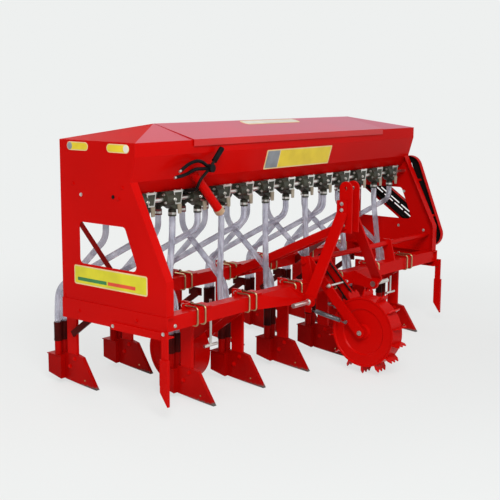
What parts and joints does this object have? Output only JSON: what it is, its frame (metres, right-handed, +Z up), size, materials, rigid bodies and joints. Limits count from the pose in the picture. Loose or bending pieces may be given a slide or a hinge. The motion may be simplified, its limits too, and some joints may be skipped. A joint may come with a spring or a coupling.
{
  "type": "mounted seed and fertiliser drill",
  "caption": "Tractor-mounted seed and fertiliser drill in red, with a hip-roofed hopper, clear hoses, pointed furrow openers and a lugged ground drive wheel.",
  "frame": {"origin": "on the ground, under the middle of the machine's overall box", "axes": "+X to the drive-chain end of the machine, +Y to the rear, away from the tractor, +Z up"},
  "size_m": [2.417, 1.3233, 1.245],
  "materials": {
    "red_paint": "glossy red enamel",
    "cast_cup": "olive grey casting",
    "black_rubber": "matt black rubber",
    "clear_hose": "clear grey PVC",
    "zinc_steel": "zinc plated steel",
    "black_steel": "black painted steel",
    "tan_plastic": "tan moulded plastic"
  },
  "bodies": {
    "frame": {"chain_guard": "red_paint", "cross_shaft": "red_paint", "depth_brackets": "red_paint", "depth_screws": "zinc_steel", "drain_pipe": "red_paint", "drain_plug": "tan_plastic", "drive_chains": "black_steel", "end_panel_left": "red_paint", "end_panel_right": "red_paint", "feed_shafts": "zinc_steel", "fertiliser_cuffs": "black_rubber", "fertiliser_cups": "cast_cup", "fertiliser_hoses": "clear_hose", "front_bar": "red_paint", "front_boots": "red_paint", "front_clamps": "red_paint", "front_shanks": "red_paint", "front_shovels": "red_paint", "hitch_brackets": "red_paint", "hitch_pins": "zinc_steel", "hopper": "red_paint", "lever_cables": "black_rubber", "lever_grip": "black_rubber", "lid_hinge_leaves": "red_paint", "marker_arms": "red_paint", "marker_legs": "red_paint", "mast_braces": "red_paint", "mast_legs": "red_paint", "mast_plates": "red_paint", "panel_brace": "red_paint", "rate_lever": "red_paint", "rear_bar": "red_paint", "rear_boots": "red_paint", "rear_clamps": "red_paint", "rear_shanks": "red_paint", "rear_shovels": "red_paint", "rear_stays": "black_steel", "roof_ends": "red_paint", "screw_lugs": "red_paint", "seed_cuffs": "red_paint", "seed_cups": "cast_cup", "seed_hoses": "clear_hose", "shaft_posts": "red_paint", "shutters": "tan_plastic", "side_channels": "red_paint", "splayed_brace": "red_paint", "sprockets": "black_steel", "unit_frames": "zinc_steel", "wheel_arms": "red_paint", "wheel_axle": "zinc_steel", "wheel_springs": "zinc_steel"},
    "lid": {"lid": "red_paint"},
    "drive_wheel": {"drive_wheel": "red_paint"},
    "depth_wheel_left": {"depth_wheel_left": "red_paint"},
    "depth_wheel_right": {"depth_wheel_right": "red_paint"}
  },
  "joints": [
    {"name": "lid_hinge", "type": "hinge", "parent": "frame", "child": "lid", "pos_m": [0, 0.492, 1.172], "axis": [-1, 0, 0], "range_deg": [0, 105]},
    {"name": "drive_wheel_spin", "type": "hinge", "parent": "frame", "child": "drive_wheel", "pos_m": [0, -0.447, 0.214], "axis": [1, 0, 0], "continuous": true},
    {"name": "depth_wheel_left_spin", "type": "hinge", "parent": "frame", "child": "depth_wheel_left", "pos_m": [-0.7, 0.18, 0.15], "axis": [1, 0, 0], "continuous": true},
    {"name": "depth_wheel_right_spin", "type": "hinge", "parent": "frame", "child": "depth_wheel_right", "pos_m": [0.7, 0.18, 0.15], "axis": [1, 0, 0], "continuous": true}
  ]
}
